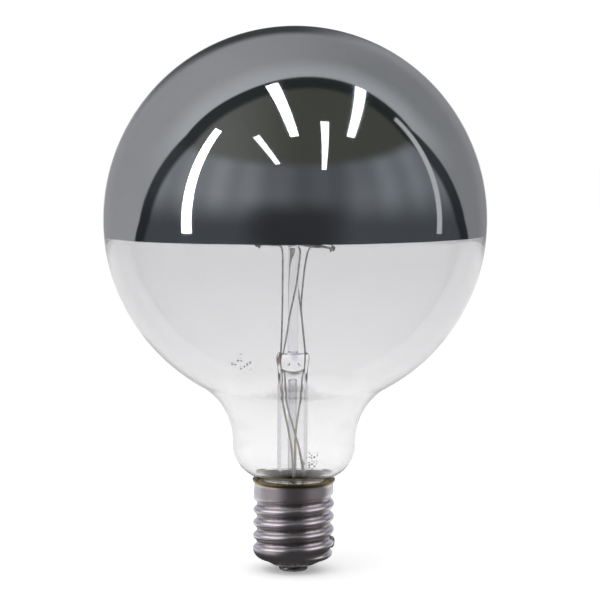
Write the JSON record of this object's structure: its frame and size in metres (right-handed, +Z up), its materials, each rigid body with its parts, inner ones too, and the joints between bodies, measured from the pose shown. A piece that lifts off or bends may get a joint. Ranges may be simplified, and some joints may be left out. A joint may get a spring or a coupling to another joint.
{
  "type": "silver crown globe bulb",
  "caption": "Clear incandescent globe lamp with a mirrored crown, glass stem, ring filament and large screw cap.",
  "frame": {"origin": "middle of the flat end of the centre contact", "axes": "+Z up the lamp's axis from the cap to the crown, +X towards the side solder, -Y the side that the picture shows"},
  "size_m": [0.1874, 0.1864, 0.2675],
  "materials": {
    "clear_glass": "clear blown glass, polished by the fire",
    "mirror_film": "silver film behind the glass of the crown",
    "nickel_plate": "satin nickel plate on brass, bare brass at the lip",
    "contact_metal": "dull tinned brass with solder",
    "solder": "dull grey solder",
    "black_glass": "black fused glass",
    "cement": "tan basing cement",
    "nickel_wire": "dark oxidised nickel wire",
    "molybdenum": "dark molybdenum wire",
    "tungsten": "dark brown coiled tungsten",
    "lead_wire": "pale tinned copper wire",
    "seal_wire": "reddish copper-clad wire in the press"
  },
  "bodies": {
    "root": {"glass_bulb": "clear_glass", "silver_crown": "mirror_film", "stem_tube": "clear_glass", "exhaust_tube": "clear_glass", "arbor_rod": "clear_glass", "inner_lead_left": "nickel_wire", "inner_lead_right": "nickel_wire", "stay_wire_front": "nickel_wire", "stay_wire_back": "nickel_wire", "seal_wire_left": "seal_wire", "seal_wire_right": "seal_wire", "filament": "tungsten", "outer_lead_side": "lead_wire", "outer_lead_strand": "lead_wire", "outer_lead_contact": "lead_wire", "basing_cement": "cement", "screw_shell": "nickel_plate", "side_solder": "solder", "insulator": "black_glass", "centre_contact": "contact_metal", "support_hook_1": "molybdenum", "support_hook_2": "molybdenum", "support_hook_3": "molybdenum", "support_hook_4": "molybdenum", "support_hook_5": "molybdenum"}
  },
  "joints": []
}
